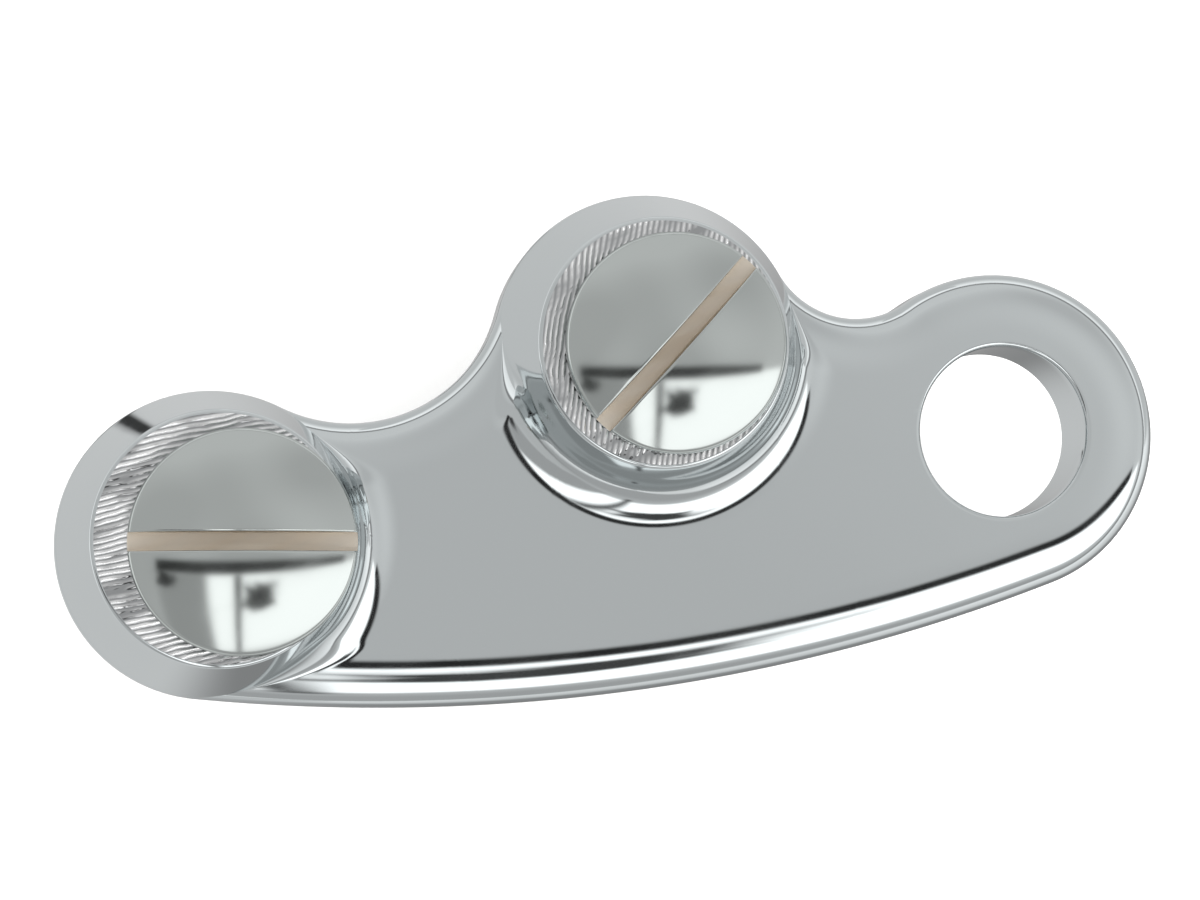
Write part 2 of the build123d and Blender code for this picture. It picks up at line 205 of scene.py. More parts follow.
def quarter_round(centre, radius, start, end, steps=6):
    """(radius, height) points on a small arc from one angle to another, in degrees."""
    angle = np.radians(np.linspace(start, end, steps))
    return [(centre[0] + radius * np.cos(a), centre[1] + radius * np.sin(a)) for a in angle]


# %% [markdown]
# ## The arm's outline
# A forging die is cut with arcs, so the outline is six arcs that run smoothly into each other: a
# lobe round each pivot and round the eye, a hollow neck between neighbours on the upper side, and
# one long belly arc below. Only the lobes' centres and the radii are chosen. Where a joining arc
# has its centre follows from touching its two neighbours.

# %% Outline arcs
REAR_LOBE = (REAR + (-3.1, 1.5), 16.8)
FRONT_LOBE = (FRONT + (-1.1, 1.1), 17.2)
EYE_LOBE = (EYE, 18.0)
NECK_RADIUS = 17.0
EYE_NECK_RADIUS = 10.0
BELLY_RADIUS = 211.0


def touching_centre(first, first_distance, second, second_distance):
    """The point left of the line first-second at the two given distances from its ends."""
    line = second - first
    span = np.hypot(*line)
    along = (first_distance**2 - second_distance**2 + span**2) / (2 * span)
    aside = np.sqrt(first_distance**2 - along**2)
    return first + (along * line + aside * np.array([-line[1], line[0]])) / span


def bearing(start, end):
    """The angle of the line from start to end, in radians."""
    return np.arctan2(end[1] - start[1], end[0] - start[0])


def joining_arcs():
    """The six arcs anticlockwise as (centre, radius, start angle, sweep), sweep < 0 if hollow."""
    rear, rear_radius = REAR_LOBE
    front, front_radius = FRONT_LOBE
    eye, eye_radius = EYE_LOBE
    belly = touching_centre(rear, BELLY_RADIUS - rear_radius, eye, BELLY_RADIUS - eye_radius)
    eye_neck = touching_centre(
        front, front_radius + EYE_NECK_RADIUS, eye, eye_radius + EYE_NECK_RADIUS
    )
    neck = touching_centre(rear, rear_radius + NECK_RADIUS, front, front_radius + NECK_RADIUS)
    ends = [
        (belly, BELLY_RADIUS, bearing(belly, rear), bearing(belly, eye), 1),
        (eye, eye_radius, bearing(belly, eye), bearing(eye, eye_neck), 1),
        (eye_neck, EYE_NECK_RADIUS, bearing(eye_neck, eye), bearing(eye_neck, front), -1),
        (front, front_radius, bearing(front, eye_neck), bearing(front, neck), 1),
        (neck, NECK_RADIUS, bearing(neck, front), bearing(neck, rear), -1),
        (rear, rear_radius, bearing(rear, neck), bearing(belly, rear), 1),
    ]
    return [(c, r, a, turn * ((turn * (b - a)) % (2 * pi))) for c, r, a, b, turn in ends]


ARCS = joining_arcs()
BELLY, EYE_NECK, NECK = 0, 2, 4
print("outline length", round(sum(abs(r * s) for _, r, _, s in ARCS), 1), "mm")


def inside_distance(x, y):
    """How far (x, y) is inside the outline: the distance to the nearest arc, < 0 outside."""
    best = np.full(np.shape(x), 1e9)
    signed = np.zeros(np.shape(x))
    for centre, radius, start, sweep in ARCS:
        dx, dy = x - centre[0], y - centre[1]
        reach = np.hypot(dx, dy)
        angle = np.arctan2(dy, dx)
        turn = np.sign(sweep)
        beyond = (turn * (angle - start)) % (2 * pi) > abs(sweep)
        gap = np.where(beyond, 1e8, np.abs(reach - radius))
        inward = turn * (radius - reach)
        nearer = gap < best
        best = np.where(nearer, gap, best)
        signed = np.where(nearer, inward, signed)
    return signed


# %% [markdown]
# A point of the outline is found by walking: so many millimetres along the arcs, anticlockwise from
# the start of the belly. Even steps in length give even columns, which angles about one centre
# wouldn't, because the outline has hollow stretches.

# %% Walking round the outline
LENGTHS = np.array([abs(radius * sweep) for _, radius, _, sweep in ARCS])
ENDS = np.cumsum(LENGTHS)
STARTS = ENDS - LENGTHS
OUTLINE_LENGTH = ENDS[-1]
print("arcs in mm from the belly on:", LENGTHS.round(1))


def outline_at(walked):
    """Points and inward normals at walked mm along the arcs, anticlockwise from the belly."""
    walked = np.asarray(walked) % OUTLINE_LENGTH
    index = np.minimum(np.searchsorted(ENDS, walked, side="right"), len(ARCS) - 1)
    centre = np.array([arc[0] for arc in ARCS])[index]
    radius = np.array([arc[1] for arc in ARCS])[index]
    start = np.array([arc[2] for arc in ARCS])[index]
    sweep = np.array([arc[3] for arc in ARCS])[index]
    angle = start + sweep * (walked - STARTS[index]) / LENGTHS[index]
    outward = np.stack([np.cos(angle), np.sin(angle)], -1)
    return centre + radius[:, None] * outward, -np.sign(sweep)[:, None] * outward


def walked_facing(centre, angles, first, last):
    """How far to walk until the outline lies in the given directions (degrees) from centre."""
    walked = np.linspace(first, last, 4000)
    points, _ = outline_at(walked)
    facing = np.unwrap(np.arctan2(*(points - centre).T[::-1]))
    wanted = np.radians(angles)
    wanted = wanted + 2 * pi * np.round((facing.mean() - wanted.mean()) / (2 * pi))
    return np.interp(wanted, facing, walked)


# %% [markdown]
# ## The polished skin of the arm
# A belt-polished forging has no sharp inside corners: the bosses grow out of the web in soft
# fillets. A fillet made by a modifier has a seam on each side, and chrome shows it. So the outer
# side is a height over the plan instead. The web and each boss has a distance formula, a smooth
# minimum blends them, and the height at a point is where the blend is zero, found by halving.
# The edge is not a plain quarter round either. A polishing belt wraps over it, so it starts very
# gently, well in from the edge, and ends upright: a superellipse, wider than it is high.

# %% Distance formulas
EDGE_ROLL = 3.8
EDGE_ROLL_WIDTH = 7.0
EDGE_ROLL_POWER = 2.6
BACK_ROLL = 1.5
BOSS_FACE_RADIUS = 13.6
BOSS_RIM_BREAK = 0.35
BOSS_DRAFT = np.radians(16.0)
FILLET_WIDTH = 4.4
FILLET_FADE = (0.3 * EDGE_ROLL, 1.9 * EDGE_ROLL)
REAR_FACE = REAR + (-1.9, 1.3)
FRONT_FACE = FRONT + (-1.0, 0.6)
ROLL_FOOT = WEB_THICKNESS - EDGE_ROLL
HALVINGS = 32


def roll_point_with_slope(lean):
    """(inset, height) where the edge's superellipse leans by an angle from the upright."""
    ratio = (EDGE_ROLL_WIDTH / (EDGE_ROLL * np.tan(lean))) ** (1 / (EDGE_ROLL_POWER - 1))
    upright = (1 + ratio**EDGE_ROLL_POWER) ** (-1 / EDGE_ROLL_POWER)
    return EDGE_ROLL_WIDTH * (1 - ratio * upright), ROLL_FOOT + EDGE_ROLL * upright


FOOT_INSET, FOOT_HEIGHT = roll_point_with_slope(BOSS_DRAFT)


def web_distance(inside, z):
    """0 on a plate with a superelliptic edge: (across^p + upright^p)^(1/p) = 1, in roll heights."""
    across = np.maximum(1 - inside / EDGE_ROLL_WIDTH, 0)
    upright = np.maximum((z - ROLL_FOOT) / EDGE_ROLL, 0)
    power = EDGE_ROLL_POWER
    return ((across**power + upright**power) ** (1 / power) - 1) * EDGE_ROLL


def boss_distance(x, y, z, lobe, face):
    """Distance to a leaning cone between the lobe's foot circle and the machined face."""
    foot_radius = lobe[1] - FOOT_INSET
    rise = (z - FOOT_HEIGHT) / (BOSS_HEIGHT - FOOT_HEIGHT)
    centre_x = lobe[0][0] + rise * (face[0] - lobe[0][0])
    centre_y = lobe[0][1] + rise * (face[1] - lobe[0][1])
    radius = foot_radius + rise * (BOSS_FACE_RADIUS - foot_radius)
    flank = (np.hypot(x - centre_x, y - centre_y) - radius) * np.cos(BOSS_DRAFT)
    flank = flank + BOSS_RIM_BREAK
    top = z - BOSS_HEIGHT + BOSS_RIM_BREAK
    corner = np.hypot(np.maximum(flank, 0), np.maximum(top, 0))
    capped = corner + np.minimum(np.maximum(flank, top), 0) - BOSS_RIM_BREAK
    return np.maximum(capped, FOOT_HEIGHT - z)


def smooth_minimum(a, b, width):
    """The smaller of a and b, rounded off where they differ by less than width."""
    width = np.maximum(width, 1e-6)
    overlap = np.maximum(width - np.abs(a - b), 0) / width
    return np.minimum(a, b) - overlap**2 * width / 4


def top_height(plan):
    """The height of the outer side over plan points (..., 2): the blend's zero, by halving.

    The fillets fade out towards the outline, where a boss's flank runs straight to the edge."""
    x, y = plan[..., 0], plan[..., 1]
    inside = inside_distance(x, y)
    depth = np.clip((inside - FILLET_FADE[0]) / (FILLET_FADE[1] - FILLET_FADE[0]), 0, 1)
    width = FILLET_WIDTH * depth**2 * (3 - 2 * depth)
    low = np.full(x.shape, ROLL_FOOT)
    high = np.full(x.shape, BOSS_HEIGHT + 1.0)
    for _ in range(HALVINGS):
        z = (low + high) / 2
        blend = web_distance(np.maximum(inside, 0), z)
        for lobe, face in ((REAR_LOBE, REAR_FACE), (FRONT_LOBE, FRONT_FACE)):
            blend = smooth_minimum(blend, boss_distance(x, y, z, lobe, face), width)
        low = np.where(blend < 0, z, low)
        high = np.where(blend < 0, high, z)
    return np.minimum((low + high) / 2, BOSS_HEIGHT)


places = np.array([EYE + (14, 0), REAR_FACE + (12.5, 0), (REAR_FACE + FRONT_FACE) / 2])
print("heights by the eye, on a boss and between bosses:", top_height(places).round(2), "mm")

# %% [markdown]
# ## Lines across the skin
# The grid's columns are lines that run from the outline inwards: to the rim of a boss face, to the
# rim of the eye, or to the spine between two rims. Along each line the points are spaced evenly in
# length plus turn, so that a tight round gets as many points as a long flat stretch.

# %% Spacing points by length and turn
BEND_WEIGHT = 3.0


def spread_shares(start, end, count, dense=300, crowding=1.6):
    """Shares from 0 to 1 of each line start-end, even in (length + BEND_WEIGHT x turn)."""
    share = np.linspace(0, 1, dense) ** crowding
    plan = start[:, None] + share[None, :, None] * (end - start)[:, None]
    run = np.hypot(*np.moveaxis(np.diff(plan, axis=1), -1, 0))
    climb = np.diff(top_height(plan), axis=1)
    slope = np.arctan2(climb, np.maximum(run, 1e-9))
    turn = np.abs(np.diff(slope, axis=1, append=slope[:, -1:]))
    weight = np.hypot(run, climb) + BEND_WEIGHT * turn
    total = np.concatenate([np.zeros((len(start), 1)), np.cumsum(weight, axis=1)], axis=1)
    total /= total[:, -1:]
    lane = 2.0 * np.arange(len(start))[:, None]
    wanted = np.linspace(0, 1, count)[None] + lane
    shares = np.tile(share, (len(start), 1))
    return np.interp(wanted.ravel(), (total + lane).ravel(), shares.ravel()).reshape(-1, count)


# %% [markdown]
# ## Which line goes where
# The inner ends of the lines make one closed walk: along the spine from the rear rim to the front
# rim, under the front rim, along the spine to the eye, round the eye, and back the same way over
# the top. The outer ends walk round the outline in step with it. Round a rim, the outer end is the
# point of the outline that faces the rim's centre, squeezed a little to leave room for the spine.

# %% The closed walk
RIM_STEP = 2.0
EYE_STEP = 3.0
SPINE_TO_FRONT = 84
SPINE_TO_EYE = 48
EYE_SPINE = 142.0
FRONT_SPINE = -38.0
SQUEEZE_REACH = 150.0


def circle_points(circle, angles):
    """Points of a (centre, radius) circle at angles in degrees."""
    angles = np.radians(angles)
    return circle[0] + circle[1] * np.stack([np.cos(angles), np.sin(angles)], -1)


def inner_walk(rear_circle, front_circle, eye_circle, shares_to_front, shares_to_eye):
    """The inner ends of all lines, in order, for circles of the given centres and radii."""
    rear_end = circle_points(rear_circle, np.array([0.0]))
    front_left = circle_points(front_circle, np.array([180.0]))
    front_right = circle_points(front_circle, np.array([FRONT_SPINE]))
    eye_end = circle_points(eye_circle, np.array([EYE_SPINE]))
    first_spine = rear_end + shares_to_front[:, None] * (front_left - rear_end)
    second_spine = front_right + shares_to_eye[:, None] * (eye_end - front_right)
    return np.concatenate(
        [
            first_spine[:-1],
            circle_points(front_circle, np.arange(180.0, 360.0 + FRONT_SPINE, RIM_STEP)),
            second_spine[:-1],
            circle_points(eye_circle, np.arange(EYE_SPINE, 360.0 + EYE_SPINE, EYE_STEP)),
            second_spine[:0:-1],
            circle_points(front_circle, np.arange(FRONT_SPINE, 180.0, RIM_STEP)),
            first_spine[:0:-1],
            circle_points(rear_circle, np.arange(0.0, 360.0, RIM_STEP)),
        ]
    )


def outer_walk():
    """How far along the outline each line starts, in the same order as the inner walk."""
    belly = LENGTHS[BELLY]
    eye_neck, neck = (STARTS[arc] + LENGTHS[arc] / 2 for arc in (EYE_NECK, NECK))
    leaving_eye = STARTS[EYE_NECK] + 0.15 * LENGTHS[EYE_NECK]
    below, above, round_eye = 360.0 + FRONT_SPINE, FRONT_SPINE, 360.0 + EYE_SPINE
    rims = [
        # rim's centre, angles from-to, step, room before and after, outline searched from-to
        (FRONT_FACE, 180.0, below, RIM_STEP, 58.0, 52.0, 0.1 * belly, 0.95 * belly),
        (EYE, EYE_SPINE, round_eye, EYE_STEP, 66.0, 38.0, 0.55 * belly, eye_neck),
        (FRONT_FACE, above, 180.0, RIM_STEP, 35.0, 42.0, leaving_eye, neck),
        (REAR_FACE, 0.0, 360.0, RIM_STEP, 23.0, 58.0, neck, OUTLINE_LENGTH + 0.4 * belly),
    ]
    walks = []
    for centre, start, end, step, room_before, room_after, first, last in rims:
        angles = np.arange(start, end, step)
        fade = min(SQUEEZE_REACH, end - start)
        before = np.clip(1 - (angles - start) / fade, 0, 1) ** 1.5
        after = np.clip(1 - (end - angles) / fade, 0, 1) ** 1.5
        angles = angles + room_before * before - room_after * after
        walks.append(walked_facing(centre, angles, first, last))
    last_walk = walks[-1] - OUTLINE_LENGTH
    whole = []
    for walk, count in zip(walks, (SPINE_TO_FRONT, SPINE_TO_EYE, SPINE_TO_EYE, SPINE_TO_FRONT)):
        start = 2 * last_walk[-1] - last_walk[-2]
        whole += [np.linspace(start, walk[0], count + 1)[:-1], walk]
        last_walk = walk
    return np.concatenate(whole)


walked = outer_walk()
steps = np.diff(walked)
print(len(walked), "lines,", steps.min().round(2), "to", steps.max().round(2), "mm apart outside")

# %% [markdown]
# ## The arm as one closed mesh
# From the outline, each line goes both ways: inwards over the top to a rim, and down the side,
# round the small back edge and over the flat back face to a bore. The bores are turned profiles
# whose points fall on the same angles, so everything can be sewn together.

# %% Build the arm
FRONT_ROWS = 92
BACK_ROWS = 7
EYE_RADIUS = 9.525
EYE_RIM_ROUND = 0.5
BUSH_BORE = 9.525
SEAL_RECESS = (12.05, 1.8)
FACE_EDGE = BOSS_FACE_RADIUS - BOSS_RIM_BREAK / np.cos(BOSS_DRAFT) - 0.02


def raised(plan, z):
    """Plan points (..., 2) lifted to heights z, which may be one number."""
    return np.concatenate([plan, np.broadcast_to(z, plan.shape[:-1])[..., None]], axis=-1)


def front_skin():
    """The outer side: lines from the outline over the roll, web and fillets to the rims."""
    rear_rim, front_rim = (REAR_FACE, FACE_EDGE), (FRONT_FACE, FACE_EDGE)
    eye_rim = (EYE, EYE_RADIUS + EYE_RIM_ROUND)
    spine_ends = [
        circle_points(rear_rim, np.array([0.0])),
        circle_points(front_rim, np.array([180.0])),
        circle_points(front_rim, np.array([FRONT_SPINE])),
        circle_points(eye_rim, np.array([EYE_SPINE])),
    ]
    to_front = spread_shares(*spine_ends[:2], SPINE_TO_FRONT + 1, crowding=1.0)[0]
    to_eye = spread_shares(*spine_ends[2:], SPINE_TO_EYE + 1, crowding=1.0)[0]
    inner = inner_walk(rear_rim, front_rim, eye_rim, to_front, to_eye)
    outer, _ = outline_at(walked)
    shares = spread_shares(outer, inner, FRONT_ROWS)
    plan = outer[:, None] + shares[..., None] * (inner - outer)[:, None]
    return raised(plan, top_height(plan))


def side_and_back():
    """From the foot of the roll down the wall, round the back edge and in to the bores."""
    outer, inward = outline_at(walked)
    even = [np.linspace(0, 1, count + 1) for count in (SPINE_TO_FRONT, SPINE_TO_EYE)]
    recess = SEAL_RECESS[0]
    inner = inner_walk((REAR, recess), (FRONT, recess), (EYE, EYE_RADIUS), *even)
    rows = [raised(outer, z) for z in np.linspace(ROLL_FOOT, BACK_ROLL, 5)]
    for angle in np.linspace(0, pi / 2, 7)[1:]:
        inset = BACK_ROLL * (1 - np.cos(angle))
        rows.append(raised(outer + inset * inward, BACK_ROLL * (1 - np.sin(angle))))
    edge = outer + BACK_ROLL * inward
    for share in np.linspace(0, 1, BACK_ROWS)[1:]:
        rows.append(raised(edge + share * (inner - edge), 0.0))
    return np.stack(rows, axis=1)


def ring_between(outer_circle, inner_circle, z, angles, rows=4):
    """A flat ring at height z between two circles that need not share a centre."""
    outer, inner = circle_points(outer_circle, angles), circle_points(inner_circle, angles)
    share = np.linspace(0, 1, rows)[:, None, None]
    return raised(outer[None] + share * (inner - outer)[None], z)


def arm_patches():
    """Every patch of the arm; materials 1 and 2 are the rear and front machined faces."""
    rim_angles = np.arange(0.0, 360.0, RIM_STEP)
    eye_angles = np.arange(EYE_SPINE, 360.0 + EYE_SPINE, EYE_STEP)
    patches = [
        Patch(front_skin(), wrap_rows=True),
        Patch(side_and_back(), wrap_rows=True, flip=True),
    ]
    for material, pivot, face in ((1, REAR, REAR_FACE), (2, FRONT, FRONT_FACE)):
        rings = ring_between(
            (face, FACE_EDGE), (pivot, BUSH_BORE), BOSS_HEIGHT, rim_angles, rows=6
        )
        patches.append(Patch(rings, wrap_columns=True, flip=True, material=material))
        bore = [(BUSH_BORE, z) for z in np.linspace(BOSS_HEIGHT, SEAL_RECESS[1], 8)]
        recess = [(SEAL_RECESS[0], SEAL_RECESS[1]), (SEAL_RECESS[0], 0.0)]
        wall = lathe(pivot, bore + recess, angles=rim_angles)
        patches.append(Patch(wall, wrap_columns=True, flip=True, material=3))
    rim = quarter_round(
        (EYE_RADIUS + EYE_RIM_ROUND, WEB_THICKNESS - EYE_RIM_ROUND), EYE_RIM_ROUND, 90, 180, 8
    )
    bore = [(EYE_RADIUS, z) for z in np.linspace(WEB_THICKNESS - EYE_RIM_ROUND, 0, 8)[1:]]
    patches.append(Patch(lathe(EYE, rim + bore, angles=eye_angles), wrap_columns=True, flip=True))
    return patches


add_piece("arm_skin", arm_patches(), "arm", "rocker_arm")

# %% [markdown]
# ## The studs' domed heads
# Each stud has a low domed head, 24 mm across, polished and plated, with a screwdriver slot sawn
# right across it. Sawing it out with a Boolean would leave ragged normals in the chrome. Instead
# each half dome is a grid that runs from the slot to the rim: the sphere's height, less a small
# round at the slot's edge and another at the rim. The saw cut's walls and floor show bare metal.

# %% Head shape
HEAD_RADIUS = 12.0
HEAD_BASE = 17.1
HEAD_RIM = 18.4
DOME_RISE = 3.2
DOME_RADIUS = (HEAD_RADIUS**2 + DOME_RISE**2) / (2 * DOME_RISE)
HEAD_RIM_ROUND = 0.4
SLOT_HALF = 0.975
SLOT_FLOOR = 17.6
SLOT_EDGE_ROUND = 0.22
SKIRT_HEIGHTS = (SLOT_FLOOR, (SLOT_FLOOR + HEAD_BASE) / 2, HEAD_BASE)
JOURNAL_RADIUS = 7.9375
SLOT_ANGLES = {"rear": -24.8, "front": 23.2}
print("dome radius", round(DOME_RADIUS, 1), "mm")


def round_drop(distance, radius):
    """How far a rounded edge lies below the sharp one, at a distance in from that edge."""
    inside = np.clip(radius - distance, 0, radius)
    return radius - np.sqrt(radius**2 - inside**2)


def dome_height(x, y):
    """The sphere's height, less the rounds at the rim and at the slot's edge."""
    from_axis = np.hypot(x, y)
    sphere = HEAD_RIM + DOME_RISE - DOME_RADIUS
    sphere = sphere + np.sqrt(DOME_RADIUS**2 - np.minimum(from_axis, HEAD_RADIUS) ** 2)
    rim = round_drop(HEAD_RADIUS - from_axis, HEAD_RIM_ROUND)
    edge = round_drop(np.abs(y) - SLOT_HALF, SLOT_EDGE_ROUND)
    return sphere - rim - edge


def eased_shares(count):
    """Shares from 0 to 1, crowded at both ends by a cosine."""
    return (1 - np.cos(pi * np.linspace(0, 1, count))) / 2


def half_head(side, columns=121, rows=44):
    """One half: up the slot's wall, over the dome to the rim, and down the head's side."""
    corner = np.arcsin(SLOT_HALF / HEAD_RADIUS)
    share = np.linspace(-1, 1, columns)
    turn = share * (pi / 2 - corner)
    rim = HEAD_RADIUS * np.stack([np.sin(turn), np.cos(turn)], -1)
    slot_end = HEAD_RADIUS * np.cos(corner)
    edge = np.stack([slot_end * np.sin(turn) / np.cos(corner), np.full(columns, SLOT_HALF)], -1)
    plan = edge[:, None] + eased_shares(rows)[None, :, None] * (rim - edge)[:, None]
    plan[..., 1] *= side
    top = raised(plan, dome_height(plan[..., 0], plan[..., 1]))
    wall = np.stack([raised(plan[:, 0], SLOT_FLOOR), top[:, 0]], 1)
    skirt = np.stack([raised(plan[:, -1], z) for z in SKIRT_HEIGHTS], 1)
    return wall, np.concatenate([top, skirt], axis=1)


def slot_floor(columns=121, rows=5):
    """The floor of the saw cut, from one side of the head to the other."""
    corner = np.arcsin(SLOT_HALF / HEAD_RADIUS)
    turn = np.linspace(-1, 1, columns) * (pi / 2 - corner)
    along = np.sin(turn) / np.cos(corner)
    y = np.linspace(-SLOT_HALF, SLOT_HALF, rows)
    reach = np.sqrt(HEAD_RADIUS**2 - y**2)
    plan = np.stack([along[:, None] * reach[None], np.tile(y, (columns, 1))], -1)
    return raised(plan, SLOT_FLOOR)


def turned_about(points, centre, turn_degrees):
    """Points turned about the upright axis, then moved to a centre."""
    angle = np.radians(turn_degrees)
    x = points[..., 0] * np.cos(angle) - points[..., 1] * np.sin(angle) + centre[0]
    y = points[..., 0] * np.sin(angle) + points[..., 1] * np.cos(angle) + centre[1]
    return np.stack([x, y, points[..., 2]], axis=-1)


def head_patches():
    """The head about its own axis: two halves, the slot, its two mouths and the underside."""
    patches = []
    base_rings = []
    for side in (1, -1):
        wall, top = half_head(side)
        patches.append(Patch(wall, flip=side < 0, material=1))
        patches.append(Patch(top, flip=side < 0))
        base_rings.append(top[:, -1])
    floor = slot_floor()
    patches.append(Patch(floor, material=1))
    mouths = []
    for end in (0, -1):
        edge = floor[end][:, :2]
        mouth = np.stack([raised(edge, z) for z in SKIRT_HEIGHTS], 1)
        patches.append(Patch(mouth, flip=end != 0))
        mouths.append(mouth[1:-1, -1])
    ring = np.concatenate([base_rings[0][::-1], mouths[0][::-1], base_rings[1], mouths[1]])
    inner = ring[:, :2] * (JOURNAL_RADIUS / np.hypot(*ring[:, :2].T))[:, None]
    underside = np.stack([ring, raised(inner, HEAD_BASE)], axis=0)
    patches.append(Patch(underside, wrap_columns=True))
    return patches, raised(inner, HEAD_BASE)


# %% [markdown]
# ## The studs' shanks
# Behind the head is the ground journal that turns in the bush, then a shoulder, then the thread.
# The thread is one surface r(angle, z): the radius follows a saw-tooth with flattened tips whose
# phase moves on by one pitch in each turn, which is all that a helix is.

# %% Shank and thread
THREAD_RADIUS = 7.144
THREAD_PITCH = 25.4 / 18
THREAD_DEPTH = 0.8
ROWS_PER_THREAD = 9
SHOULDER = -0.1
RELIEF = (-13.24, -14.84)
RELIEF_DEPTH = 0.9
STUD_END = -26.84
END_CHAMFER = 1.0
GREASE_GROOVE = (9.0, 6.6, 0.5)
NIPPLE_HOLE = (3.175, -19.34)


def thread_radius(angle, z, top, bottom):
    """The helical thread: a clipped triangle wave of (z - pitch x turns), faded at both ends."""
    phase = (z / THREAD_PITCH - angle / (2 * pi)) % 1.0
    flank = np.clip(1.35 * (1 - np.abs(2 * phase - 1)) - 0.15, 0, 1)
    fade = np.clip(np.minimum(top - z, z - bottom) / (0.6 * THREAD_PITCH), 0, 1)
    return THREAD_RADIUS - THREAD_DEPTH * flank * fade


def shank_patches(head_ring):
    """Journal with its grease groove, shoulder, thread, relief groove, chamfer, nipple hole."""
    angles = np.degrees(np.arctan2(head_ring[:, 1], head_ring[:, 0]))
    groove_top, groove_bottom, groove_depth = GREASE_GROOVE
    journal = [
        (JOURNAL_RADIUS, HEAD_BASE),
        (JOURNAL_RADIUS, groove_top),
        (JOURNAL_RADIUS - groove_depth, groove_top),
        (JOURNAL_RADIUS - groove_depth, groove_bottom),
        (JOURNAL_RADIUS, groove_bottom),
        (JOURNAL_RADIUS, SHOULDER + 0.2),
        (JOURNAL_RADIUS - 0.2, SHOULDER),
        (THREAD_RADIUS, SHOULDER),
    ]
    turned_down = lathe(EYE, journal, angles=angles)
    turn = np.unwrap(np.radians(angles))
    upper = np.arange(SHOULDER, RELIEF[0], -THREAD_PITCH / ROWS_PER_THREAD)
    lower = np.arange(RELIEF[1], STUD_END + END_CHAMFER, -THREAD_PITCH / ROWS_PER_THREAD)
    grids = []
    stretches = (
        (upper, SHOULDER, RELIEF[0], RELIEF[0]),
        (lower, RELIEF[1], STUD_END + END_CHAMFER, STUD_END - END_CHAMFER),
    )
    for heights, top, last, bottom in stretches:
        z = np.append(heights, last)
        radius = thread_radius(turn[None], z[:, None], top, bottom)
        grids.append(polar(radius, turn, z[:, None]))
    neck = lathe(EYE, [(THREAD_RADIUS - RELIEF_DEPTH, z) for z in RELIEF], angles=angles)
    hole_radius, hole_top = NIPPLE_HOLE
    end = [
        (THREAD_RADIUS - END_CHAMFER, STUD_END),
        (hole_radius, STUD_END),
        (hole_radius, hole_top),
        (0.0, hole_top - 0.3),
    ]
    end = lathe(EYE, end, angles=angles)
    whole = np.concatenate([turned_down, grids[0], neck, grids[1], end])
    return [Patch(whole, wrap_columns=True, material=2)]


STUD_SETS = {"rear": REAR, "front": FRONT}
for name, pivot in STUD_SETS.items():
    patches, head_ring = head_patches()
    patches += shank_patches(head_ring)
    for patch in patches:
        patch.points = turned_about(patch.points, pivot, SLOT_ANGLES[name])
    stud, node = f"{name}_stud", f"{name}_pivot_stud"
    add_piece(stud, patches, f"{name}_stud_set", node, sharp_angle=32.0)

# %% [markdown]
# ## Bushes, washers and seals
# These are all turned or pressed rings. Each is one closed profile spun round the pivot, with its
# edges broken by small rounds, because a real edge always has a little width that catches light.

# %% Rings
def ring_profile(inner, outer, low, high, edge=0.15):
    """A closed rectangular section with rounded corners, anticlockwise in (radius, z)."""
    corners = [
        ((outer - edge, low + edge), -90, 0),
        ((outer - edge, high - edge), 0, 90),
        ((inner + edge, high - edge), 90, 180),
        ((inner + edge, low + edge), 180, 270),
    ]
    return [p for centre, start, end in corners for p in quarter_round(centre, edge, start, end)]


RINGS = {
    # kind: inner and outer radius, low and high z, edge round, body, slot
    "bush": (7.9775, 9.525, 0.0, 15.6, 0.2, "arm", "bush_bronze"),
    "dust_seal": (9.575, 12.0, 0.0, 1.75, 0.35, "arm", "seal_rubber"),
    "head_washer": (8.1375, 9.425, 15.7, 17.1, 0.12, "stud_set", "washer_steel"),
    "thrust_washer": (7.344, 12.7, -1.7, -0.1, 0.2, "stud_set", "washer_steel"),
}
for name, pivot in STUD_SETS.items():
    for kind, (inner, outer, low, high, edge, body, slot) in RINGS.items():
        body = body if body == "arm" else f"{name}_{body}"
        ring = lathe(pivot, ring_profile(inner, outer, low, high, edge))
        patch = Patch(ring, wrap_rows=True, wrap_columns=True, flip=True)
        add_piece(f"{name}_{kind}_ring", [patch], body, f"{name}_{kind}")

# %% [markdown]
# ## Lock washers
# A spring lock washer is a coil of square wire cut through at a slant. Here its rounded section is
# carried round the pivot, and the angle where it starts and ends leans with the height.

# %% Split washers
LOCK_WASHER = (7.344, 11.6, -4.9, -1.7)
SPLIT_WIDTH = 1.6
SPLIT_LEAN = np.tan(np.radians(20.0))


def split_washer(pivot, columns=110):
    """The section at angles from one side of the split to the other; both ends are capped."""
    inner, outer, low, high = LOCK_WASHER
    section = np.array(ring_profile(inner, outer, low, high, 0.25))
    lean = (section[:, 1] - (low + high) / 2) * SPLIT_LEAN
    gap = SPLIT_WIDTH / 2
    start = (gap - lean) / section[:, 0]
    end = 2 * pi - (gap + lean) / section[:, 0]
    angle = start[:, None] + np.linspace(0, 1, columns)[None] * (end - start)[:, None]
    return capped_tube(polar(section[:, :1], angle, section[:, 1:], pivot))


for name, pivot in STUD_SETS.items():
    washer, node = f"{name}_split_washer", f"{name}_lock_washer"
    add_piece(washer, split_washer(pivot), f"{name}_stud_set", node)

# %% [markdown]
# ## Nuts and nipples
# A hexagon with its corners turned off is the smaller of two radii at each angle: the hexagon's,
# and a cone's that grows from the flats' width to the corners'. One function gives that outline at
# any height, and rings of it are stacked up. A soft minimum with a circle rounds the corners.

